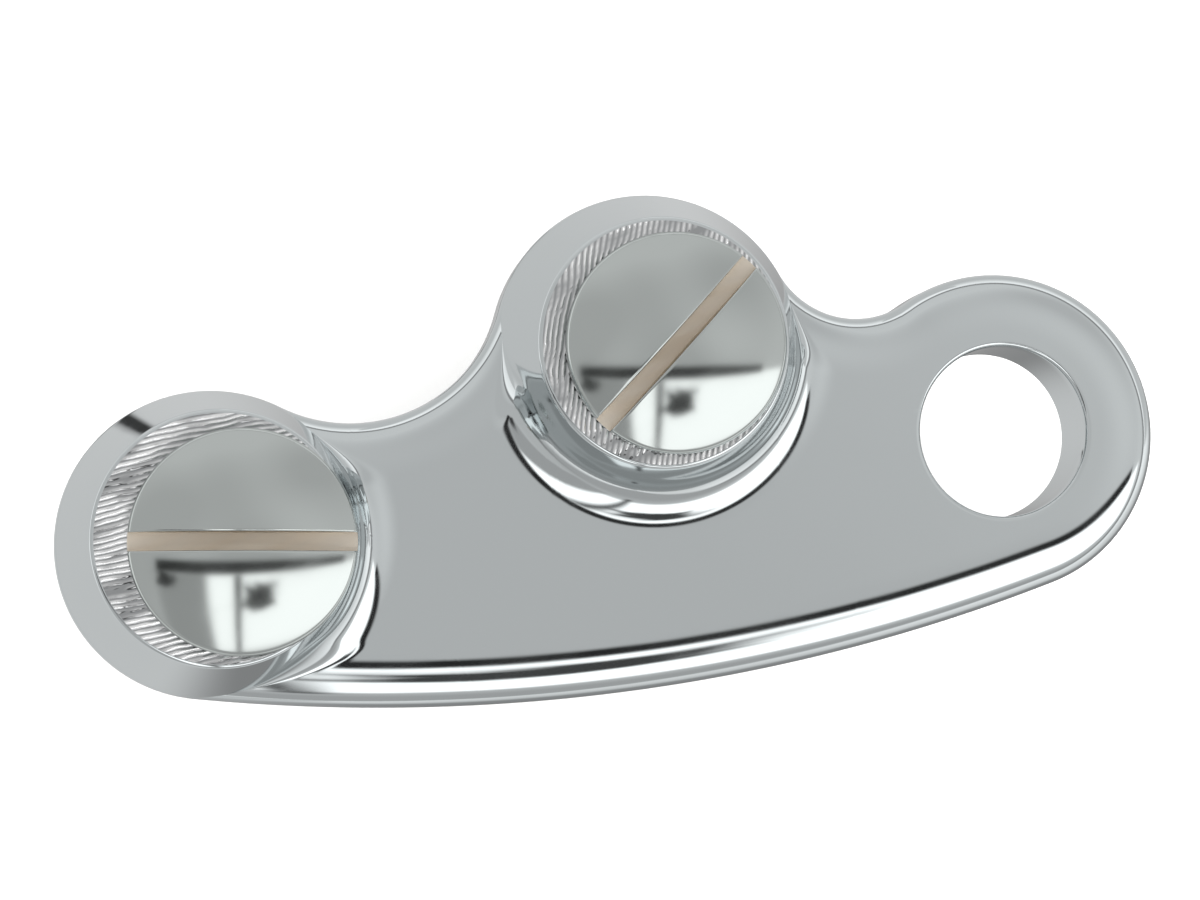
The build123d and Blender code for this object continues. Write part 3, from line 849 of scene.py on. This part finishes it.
# %% Hexagons
FLAT_FACE_SHARE = 0.985


def hexagon_radius(angle, across_flats, softness=0.25):
    """The hexagon's radius with slightly rounded corners, corners along +X."""
    folded = (angle % (pi / 3)) - pi / 6
    sharp = across_flats / 2 / np.cos(folded)
    corner = across_flats / 3**0.5
    return smooth_minimum(sharp, np.full_like(sharp, corner - softness / 2), softness)


def hexagon_rings(across_flats, low, high, turns=144, bevel_angle=30.0, steps=7):
    """Rings up a hexagon bar: bevel cone, flats, bevel cone."""
    angle = np.linspace(0, 2 * pi, turns, endpoint=False)
    hexagon = hexagon_radius(angle, across_flats)
    flat, corner = across_flats / 2, across_flats / 3**0.5
    bevel = (corner - flat) * np.tan(np.radians(bevel_angle))
    start = flat * FLAT_FACE_SHARE
    rise = np.linspace(0, 1, steps)
    cone = start + rise * (corner - start)
    z = np.concatenate([low + rise * bevel, high - rise[::-1] * bevel])
    radius = np.minimum(hexagon[None], np.concatenate([cone, cone[::-1]])[:, None])
    return polar(radius, angle, z[:, None])


NUT = (22.225, -12.84, -4.9)
NUT_BORE = 7.164
NUT_LIP = 0.5
NUT_HOLE = [
    (NUT_BORE + NUT_LIP, NUT[2]),
    (NUT_BORE, NUT[2] - NUT_LIP),
    (NUT_BORE, NUT[1] + NUT_LIP),
    (NUT_BORE + NUT_LIP, NUT[1]),
]
HEXAGON_SHARP_ANGLE = 25.0
for name, pivot in STUD_SETS.items():
    rings = hexagon_rings(*NUT)
    angles = np.linspace(0, 360, rings.shape[1], endpoint=False)
    whole = np.concatenate([rings, lathe(EYE, NUT_HOLE, angles=angles)]) + np.append(pivot, 0.0)
    nut = Patch(whole, wrap_rows=True, wrap_columns=True, flip=True)
    body, node = f"{name}_stud_set", f"{name}_stud_nut"
    add_piece(f"{name}_lock_nut", [nut], body, node, HEXAGON_SHARP_ANGLE)

# %% [markdown]
# A grease nipple is turned from hexagon bar: a shank that screws into the stud, the hexagon, a
# neck, and a bulged head that the gun's coupling snaps over. Its tip is open, and a spring holds a
# small ball against the inside of the opening. The CAD ball is a plain true ball, so it stays.

# %% Nipples
NIPPLE_HEX = (7.94, -30.04, -26.84)
NIPPLE_SHANK = [(0.6, -21.34), (3.0, -21.34), (3.155, -21.5), (3.155, -26.84)]
NIPPLE_NECK = [(3.3, -30.04), (2.42, -31.3), (2.3, -31.54), (2.42, -31.8), (3.2, -32.95)]
NIPPLE_BULGE = [(3.3, -33.24), (3.18, -33.5), (2.14, -34.8), (1.95, -34.94), (0.8, -34.94)]
NIPPLE_INSIDE = [(0.7, -34.84), (0.7, -34.44), (1.1, -34.44), (1.1, -28.44), (0.6, -28.44)]
for name, pivot in STUD_SETS.items():
    rings = hexagon_rings(*NIPPLE_HEX, turns=96, steps=5)[::-1]
    angles = np.linspace(0, 360, rings.shape[1], endpoint=False)
    shank = lathe(EYE, NIPPLE_SHANK, angles=angles)
    head = lathe(EYE, NIPPLE_NECK + NIPPLE_BULGE + NIPPLE_INSIDE, angles=angles)
    whole = np.concatenate([shank, rings, head]) + np.append(pivot, 0.0)
    nipple = Patch(whole, wrap_rows=True, wrap_columns=True)
    body, node = f"{name}_stud_set", f"{name}_grease_nipple"
    add_piece(f"{name}_nipple", [nipple], body, node, HEXAGON_SHARP_ANGLE)

# %% [markdown]
# ## Check springs
# The spring behind each ball is wound from drawn wire. When a gun's nozzle pushes the ball in, the
# coil shortens: its low end goes with the ball and its high end stays in the stud. Here each coil
# is wound between the heights of the CAD spring.

# %% Coils
SPRING_WIRE = 0.14
SPRING_COIL = 0.72
SPRING_TURNS = 5


def coil_spring(pivot, low, high, around=12, along=200):
    """A circle of wire, square to its helix, carried along the helix; both ends are capped."""
    angle = np.linspace(0, 2 * pi * SPRING_TURNS, along)[None]
    pitch = (high - low) / (2 * pi * SPRING_TURNS)
    lean = np.arctan2(pitch, SPRING_COIL)
    round_wire = np.linspace(0, 2 * pi, around, endpoint=False)[:, None]
    outwards = SPRING_WIRE * np.cos(round_wire)
    across = SPRING_WIRE * np.sin(round_wire)
    radius = SPRING_COIL + outwards
    x = pivot[0] + radius * np.cos(angle) + across * np.sin(lean) * np.sin(angle)
    y = pivot[1] + radius * np.sin(angle) - across * np.sin(lean) * np.cos(angle)
    z = low + pitch * angle + across * np.cos(lean)
    return capped_tube(np.stack([x, y, z], axis=-1))


for name, pivot in STUD_SETS.items():
    low, high = node_heights(f"{name}_nipple_spring")
    low, high = low + SPRING_WIRE, high - SPRING_WIRE
    spring = piece_from_patches(f"{name}_check_spring", coil_spring(pivot, low, high))
    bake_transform(spring)
    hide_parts(f"{name}_nipple_spring")
    pieces[f"{name}_check_spring"] = spring

# %% [markdown]
# ## Materials
# A material here is a small node tree. One helper adds a node, gives it its settings, and links or
# sets its inputs; a second starts a metal or a rubber with its few fixed numbers on the shader's
# own sockets. Colours are written as they would be picked on a screen and turned to linear light.

# %% Material helpers
def linear(hex_colour):
    """An sRGB hex colour such as "C8C9CA" as linear RGBA."""
    channels = [int(hex_colour[i : i + 2], 16) / 255 for i in (0, 2, 4)]
    return [c / 12.92 if c <= 0.04045 else ((c + 0.055) / 1.055) ** 2.4 for c in channels] + [1.0]


def add(tree, kind, inputs=None, **settings):
    """Adds a node; an input that is a socket is linked, any other value is set."""
    node = tree.nodes.new("ShaderNode" + kind)
    for key, value in settings.items():
        setattr(node, key, value)
    for key, value in (inputs or {}).items():
        if isinstance(value, bpy.types.NodeSocket):
            tree.links.new(value, node.inputs[key])
        else:
            node.inputs[key].default_value = value
    return node


def start_material(name, colour, metallic, roughness):
    """A Principled shader with its fixed numbers; returns the material, its tree and shader."""
    material = bpy.data.materials.new(name)
    material.use_nodes = True
    tree = material.node_tree
    tree.nodes.clear()
    shader = add(
        tree,
        "BsdfPrincipled",
        {"Base Color": linear(colour), "Metallic": metallic, "Roughness": roughness},
    )
    add(tree, "OutputMaterial", {"Surface": shader.outputs[0]})
    print("material:", name)
    return material, tree, shader


def object_noise(tree, size_mm, detail=2.0, turn=0.0, stretch=(1, 1, 1)):
    """Noise on Object coordinates with features of a real size, turned and stretched."""
    place = add(tree, "TexCoord").outputs["Object"]
    turned = add(tree, "Mapping", {"Vector": place, "Rotation": (0, 0, turn), "Scale": stretch})
    scale = 1 / (size_mm * MM)
    return add(tree, "TexNoise", {"Vector": turned.outputs[0], "Scale": scale, "Detail": detail})


def vary_roughness(tree, shader, noise, low, high):
    """Lets the roughness drift between two values with a noise."""
    settings = {"From Min": 0.3, "From Max": 0.7, "To Min": low, "To Max": high}
    drift = add(tree, "MapRange", {"Value": noise.outputs[0], **settings})
    tree.links.new(drift.outputs[0], shader.inputs["Roughness"])


def shade_between(tree, shader, factor, dark, light):
    """Mixes the base colour from dark to light by a factor."""
    colours = {"Factor": factor, "A": dark, "B": light}
    shade = add(tree, "Mix", colours, data_type="RGBA")
    tree.links.new(shade.outputs["Result"], shader.inputs["Base Color"])


def roughen(tree, shader, height, depth_mm):
    """Bumps the surface by a height from 0 to 1 that stands for depth_mm."""
    bump = add(tree, "Bump", {"Height": height, "Distance": depth_mm * MM, "Strength": 1.0})
    tree.links.new(bump.outputs[0], shader.inputs["Normal"])


# %% [markdown]
# ## Bright chrome
# Chromium plate over a belt-polished and buffed forging. It is a mirror with a slightly blue-grey
# tint. Buffing by hand leaves the steel a little wavy over some 10 mm, which chrome copies and
# which makes a reflected edge wander, and the thinnest haze where the wheel dragged.

# %% Chrome
HAZE_MM = 3.0


def buffed_chrome(name, colour, wave_mm, wave_depth_mm, haze_low, haze_high):
    """A mirror with slow waves in its surface and a drifting haze."""
    material, tree, shader = start_material(name, colour, 1.0, 0.5 * (haze_low + haze_high))
    waves = object_noise(tree, wave_mm, detail=1.0)
    haze = object_noise(tree, HAZE_MM, detail=3.0, turn=0.4, stretch=(0.25, 1, 1))
    vary_roughness(tree, shader, haze, haze_low, haze_high)
    roughen(tree, shader, waves.outputs[0], wave_depth_mm)
    return material


arm_chrome = buffed_chrome("chromium_plate_buffed", "C8CDCE", 13.0, 0.035, 0.04, 0.09)
head_chrome = buffed_chrome("chromium_plate_turned_and_buffed", "B7BCBA", 8.0, 0.02, 0.10, 0.14)

# %% [markdown]
# ## Plated boss faces
# The ring round each head was faced off flat before plating, with a coarse wheel. The marks are
# nearly parallel scratches, and they run another way on each boss, because each was faced in its
# own set-up. Chrome over them gives bright and dark hatching, and the base colour also gets painted
# shade in the grooves and a painted highlight on the ridges. The real marks are some 0.4 mm apart;
# they are drawn at 0.6 mm, as coarse as they need to be to show.

# %% Faced chrome
BAND_SPACING = 0.314  # a band texture of scale 1 repeats after this length
MARKS_MM = 0.6
MARK_LENGTH_MM = 1.6
MARK_DEPTH_MM = 0.12


def chrome_facing_with_painted_shade(name, turn_degrees):
    """Bands across one direction, broken by noise: grooves, with painted shade in them and a
    painted highlight on the ridges.
    """
    material, tree, shader = start_material(name, "C4C4C5", 1.0, 0.16)
    place = add(tree, "TexCoord").outputs["Object"]
    turned = add(tree, "Mapping", {"Vector": place, "Rotation": (0, 0, np.radians(turn_degrees))})
    marks = add(
        tree,
        "TexWave",
        {
            "Vector": turned.outputs[0],
            "Scale": BAND_SPACING / (MARKS_MM * MM),
            "Distortion": 4.5,
            "Detail": 3.0,
            "Detail Scale": 0.35,
        },
        wave_type="BANDS",
        bands_direction="Y",
    )
    turn = np.radians(turn_degrees)
    patchy = object_noise(tree, MARK_LENGTH_MM, detail=2.0, turn=turn, stretch=(0.3, 1, 1))
    reach = {"Value": patchy.outputs[0], "From Min": 0.3, "From Max": 0.62}
    broken = add(tree, "MapRange", reach)
    both = {0: marks.outputs["Fac"], 1: broken.outputs[0]}
    height = add(tree, "Math", both, operation="MULTIPLY").outputs[0]
    # Painted shade and highlight: the base colour goes grey in the grooves and pure white on the
    # ridges.
    shade_between(tree, shader, height, linear("A4A6A7"), linear("FFFFFF"))
    vary_roughness(tree, shader, broken, 0.1, 0.24)
    roughen(tree, shader, height, MARK_DEPTH_MM)
    return material


rear_faced = chrome_facing_with_painted_shade("chromium_plate_facing_marks_painted_shade_rear", 12.0)
front_faced = chrome_facing_with_painted_shade("chromium_plate_facing_marks_painted_shade_front", -57.0)

# %% [markdown]
# ## The other metals and the rubber
# The saw cut was made after plating, so its walls show steel gone brown with old oil. Journals and
# washers are ground steel, nuts and nipples are zinc plated with the dull, slightly cloudy grey of
# zinc, the bushes are bronze, and the seals are moulded nitrile rubber.

# %% Plain metals and rubber
DARKER_GRAIN = 0.72


def worked_metal(name, colour, roughness, grain_mm, depth_mm, stretch=(1, 1, 1), metallic=1.0):
    """A plain metal or rubber whose grain varies its shade, roughness and height together."""
    material, tree, shader = start_material(name, colour, metallic, roughness)
    grain = object_noise(tree, grain_mm, detail=4.0, stretch=stretch)
    dark = [DARKER_GRAIN * c for c in linear(colour)[:3]] + [1.0]
    shade_between(tree, shader, grain.outputs[0], dark, linear(colour))
    vary_roughness(tree, shader, grain, 0.8 * roughness, min(1.2 * roughness, 1.0))
    roughen(tree, shader, grain.outputs[0], depth_mm)
    return material


sawn_steel = worked_metal("steel_sawn_and_oil_browned", "ECE2D3", 0.5, 1.2, 0.02, (0.2, 1, 1))
ground_steel = worked_metal("steel_ground", "B4B4B3", 0.24, 0.8, 0.004, (1, 1, 0.2))
washer_steel = worked_metal("washer_steel_ground", "ABABAA", 0.28, 1.0, 0.006)
zinc_plate = worked_metal("zinc_plate_electroplated", "B7BABF", 0.34, 2.2, 0.008)
bronze = worked_metal("bearing_bronze_reamed", "B07A45", 0.3, 0.8, 0.005, (1, 1, 0.2))
spring_wire = worked_metal("spring_steel_drawn", "77777A", 0.25, 0.6, 0.002)
ball_steel = worked_metal("ball_bearing_steel_lapped", "A9A9AB", 0.12, 0.5, 0.001)
nitrile = worked_metal("nitrile_rubber_moulded", "1B1B1C", 0.55, 0.7, 0.015, metallic=0.0)

# %% [markdown]
# A piece's material numbers, given to its patches above, count through this order. The two balls
# are still CAD nodes, so their material takes the place of the one they came with.

# %% Give every piece its materials
for material in (arm_chrome, rear_faced, front_faced, ground_steel):
    pieces["arm_skin"].data.materials.append(material)
for name in STUD_SETS:
    for material in (head_chrome, sawn_steel, ground_steel):
        pieces[f"{name}_stud"].data.materials.append(material)
    pieces[f"{name}_bush_ring"].data.materials.append(bronze)
    pieces[f"{name}_dust_seal_ring"].data.materials.append(nitrile)
    for kind in ("head_washer_ring", "thrust_washer_ring"):
        pieces[f"{name}_{kind}"].data.materials.append(washer_steel)
    for kind in ("split_washer", "lock_nut", "nipple"):
        pieces[f"{name}_{kind}"].data.materials.append(zinc_plate)
    pieces[f"{name}_check_spring"].data.materials.append(spring_wire)
    for slot in frame["nodes"][f"{name}_nipple_ball"].material_slots:
        slot.material = ball_steel
print("materials:", sorted(m.name for m in bpy.data.materials if m.users))

# %% [markdown]
# ## Floor
# The floor is pale paper laid flat under the lowest point, the nipples' tips. It is far larger than
# the view, so that its edge is never seen. It shows from above only, so that the arm can be looked
# at from underneath too. Chrome doesn't mirror it: what the chrome sees below the horizon is drawn
# with the rest of the studio's light.

# %% Floor
FLOOR_HEIGHT = cad_low[2] / MM
FLOOR_REACH = 3000.0
floor_rings = [(radius, FLOOR_HEIGHT) for radius in np.linspace(0, 1, 12) ** 2 * FLOOR_REACH]
floor = piece_from_patches("floor", [Patch(lathe(EYE, floor_rings), wrap_columns=True)])
paper, paper_tree, paper_shader = start_material("paper_pale_matt", "F3F3F2", 0.0, 0.9)
fibres = object_noise(paper_tree, 0.9, detail=3.0)
roughen(paper_tree, paper_shader, fibres.outputs[0], 0.01)
from_behind = add(paper_tree, "NewGeometry").outputs["Backfacing"]
clear = add(paper_tree, "BsdfTransparent").outputs[0]
one_sided = add(paper_tree, "MixShader", {0: from_behind, 1: paper_shader.outputs[0], 2: clear})
paper_tree.links.new(one_sided.outputs[0], paper_tree.get_output_node("ALL").inputs["Surface"])
floor.data.materials.append(paper)
floor.visible_glossy = False

# %% [markdown]
# ## Camera
# The camera looks down at the arm from nearly straight above the rear pivot, close enough for some
# perspective. The arm lies turned by 25 degrees, so the camera is turned with it.

# %% Camera
CAMERA_FROM_REAR = (-5.1, -8.4, 313.3)
CAMERA_TURN = (0.0048, -0.146, -0.4335)
CAMERA_LENS, CAMERA_SENSOR = 84.0, 36.0
camera_data = bpy.data.cameras.new("camera")
camera_data.lens = CAMERA_LENS
camera_data.sensor_width = CAMERA_SENSOR
camera_data.clip_start = 0.01
camera = bpy.data.objects.new("camera", camera_data)
bpy.context.scene.collection.objects.link(camera)
camera.location = (np.append(REAR, 0.0) + CAMERA_FROM_REAR) * MM
camera.rotation_mode = "ZYX"
camera.rotation_euler = CAMERA_TURN
bpy.context.scene.camera = camera
print("camera at", [round(v, 4) for v in camera.location])

# %% [markdown]
# ## Light
# Chrome shows nothing but its surroundings, so the studio is drawn as directions in the world
# shader: a pale grey tent, one big softbox in front with a seam down it, a few dark things round
# it, and a thin dark line low down where the tent meets the table. Real sheets and lamps could
# stand there instead, but each would need a place as well as a direction, and would hide the view
# from behind. A direction is two angles from three fixed axes, and an altitude.

# %% Studio
def softened(tree, value, low, high, soft):
    """1 where value lies between low and high, fading to 0 over soft either side."""
    fades = {}
    for i, (start, end) in enumerate(((low - soft, low + soft), (high + soft, high - soft))):
        reach = {"Value": value, "From Min": start, "From Max": end}
        fades[i] = add(tree, "MapRange", reach, interpolation_type="SMOOTHSTEP").outputs[0]
    return add(tree, "Math", fades, operation="MULTIPLY").outputs[0]


world = bpy.data.worlds.new("studio")
bpy.context.scene.world = world
world.use_nodes = True
tree = world.node_tree
tree.nodes.clear()

bpy.context.view_layer.update()
across, along, back = (tuple(camera.matrix_world.col[i][:3]) for i in range(3))
direction = add(tree, "TexCoord").outputs["Generated"]


def measured_along(axis):
    """How far the looked-at direction goes along a fixed axis."""
    dot = add(tree, "VectorMath", {0: direction, 1: axis}, operation="DOT_PRODUCT")
    return dot.outputs["Value"]


def angle_from_back(axis):
    """The direction's angle in degrees from straight back, towards a fixed axis."""
    sides = {0: measured_along(axis), 1: measured_along(back)}
    turned = add(tree, "Math", sides, operation="ARCTAN2")
    return add(tree, "Math", {0: turned.outputs[0], 1: 180 / pi}, operation="MULTIPLY").outputs[0]


sideways, upwards = angle_from_back(across), angle_from_back(along)
rise = add(tree, "Math", {0: measured_along((0, 0, 1))}, operation="ARCSINE")
altitude = add(tree, "Math", {0: rise.outputs[0], 1: 180 / pi}, operation="MULTIPLY").outputs[0]
print("angles are measured from", [round(v, 3) for v in back])

# %% [markdown]
# The light is built up in layers. First comes a brightness for each altitude: grey straight below,
# a pale table near the horizon, a thin dark line, then the tent. Slow clouds make it uneven, as
# real cloth is. Then each card covers what lies behind it, between two angles sideways and two
# upwards. A ragged card's edges wander, and so look like a thing rather than a sheet. A viewer who
# looks past the paper sees a plain white backdrop.

# %% Layers of light
TENT = 0.78
ALTITUDES = [(-90.0, 0.42), (-72.0, 0.36), (-56.0, 0.34), (-30.0, 0.42), (-14.0, 1.0)]
ALTITUDES += [(8.0, 1.3), (11.0, 0.32), (14.0, 0.32), (17.0, TENT)]
CLOUD_SCALE, CLOUD_DARK, CLOUD_LIGHT = 1.3, 0.88, 1.12
RAGGED_SCALE, RAGGED_DEGREES = 8.0, 5.0
ALL_ROUND = (-400.0, 400.0)
CARDS = [
    # brightness, sideways from-to, upwards from-to, softness of the edge, ragged or not
    (0.54, -75.0, 75.0, -140.0, -62.0, 9.0, False),  # the table in front, darker
    (0.52, -38.0, -11.0, -60.0, -12.0, 3.0, False),  # a curtain left of the softbox
    (1.95, -11.0, 75.0, -54.0, -11.0, 3.2, False),  # the softbox
    (0.16, 3.0, 7.2, -60.0, -12.0, 2.0, False),  # its seam
    (0.08, 8.0, 25.0, -31.0, -17.0, 3.0, True),  # a stand in front of it
    (0.03, -38.0, 62.0, -11.5, -4.8, 1.6, False),  # the rail that it hangs from
    (0.06, -37.0, -29.0, -19.0, -11.0, 2.0, True),  # a clamp on the rail
    (0.77, *ALL_ROUND, 104.0, 166.0, 14.0, False),  # the table behind, brighter
    (0.77, -166.0, -104.0, *ALL_ROUND, 14.0, False),  # the table on the left, brighter
    (0.05, -156.0, -151.0, 148.0, 170.0, 1.2, True),  # a dark tool that lies on it
]
level = add(tree, "MapRange", {"Value": altitude, "From Min": -90.0, "From Max": 90.0})
ramp = add(tree, "ValToRGB", {"Fac": level.outputs[0]})
for _ in range(len(ALTITUDES) - 2):
    ramp.color_ramp.elements.new(0.5)
for element, (height, brightness) in zip(ramp.color_ramp.elements, ALTITUDES):
    element.position = (height + 90) / 180
    element.color = (brightness, brightness, brightness, 1.0)


def drifting(scale, detail, settings):
    """A noise over directions, mapped to a range."""
    noise = add(tree, "TexNoise", {"Vector": direction, "Scale": scale, "Detail": detail})
    return add(tree, "MapRange", {"Value": noise.outputs[0], **settings}).outputs[0]


cloth = {"From Min": 0.35, "From Max": 0.65, "To Min": CLOUD_DARK, "To Max": CLOUD_LIGHT}
clouds = {0: ramp.outputs["Color"], 1: drifting(CLOUD_SCALE, 0.0, cloth)}
light = add(tree, "VectorMath", clouds, operation="MULTIPLY").outputs[0]
wander = drifting(RAGGED_SCALE, 2.0, {"To Min": -RAGGED_DEGREES, "To Max": RAGGED_DEGREES})
wandering = [
    add(tree, "Math", {0: angle, 1: wander}, operation="ADD").outputs[0]
    for angle in (sideways, upwards)
]
for brightness, left, right, bottom, top, soft, is_ragged in CARDS:
    side_value, up_value = wandering if is_ragged else (sideways, upwards)
    limits = {
        0: softened(tree, side_value, left, right, soft),
        1: softened(tree, up_value, bottom, top, soft),
    }
    inside = add(tree, "Math", limits, operation="MULTIPLY").outputs[0]
    cover = {"Factor": inside, "A": light, "B": (brightness,) * 3 + (1.0,)}
    light = add(tree, "Mix", cover, data_type="RGBA").outputs["Result"]
seen = add(tree, "LightPath").outputs["Is Camera Ray"]
backdrop = {"Factor": seen, "A": light, "B": (1.0, 1.0, 1.0, 1.0)}
light = add(tree, "Mix", backdrop, data_type="RGBA").outputs["Result"]
background = add(tree, "Background", {"Color": light, "Strength": 1.0})
add(tree, "OutputWorld", {"Surface": background.outputs[0]})
print("world nodes:", len(tree.nodes))

# %% [markdown]
# A plain square lamp overhead keeps the paper white. The chrome can't see it, or each dome would
# show a hard white square.

# %% Overhead lamp
LAMP_SIZE, LAMP_WATTS, LAMP_HEIGHT = 1.6, 34.0, 1.3
lamp_data = bpy.data.lights.new("overhead", "AREA")
lamp_data.shape = "SQUARE"
lamp_data.size = LAMP_SIZE
lamp_data.energy = LAMP_WATTS
lamp = bpy.data.objects.new("overhead", lamp_data)
lamp.location = (REAR[0] * MM / 2, 0.0, LAMP_HEIGHT)
lamp.visible_glossy = False
bpy.context.scene.collection.objects.link(lamp)
bpy.context.scene.view_settings.view_transform = "Standard"
print("lamp", LAMP_SIZE, "m wide,", LAMP_HEIGHT, "m up")
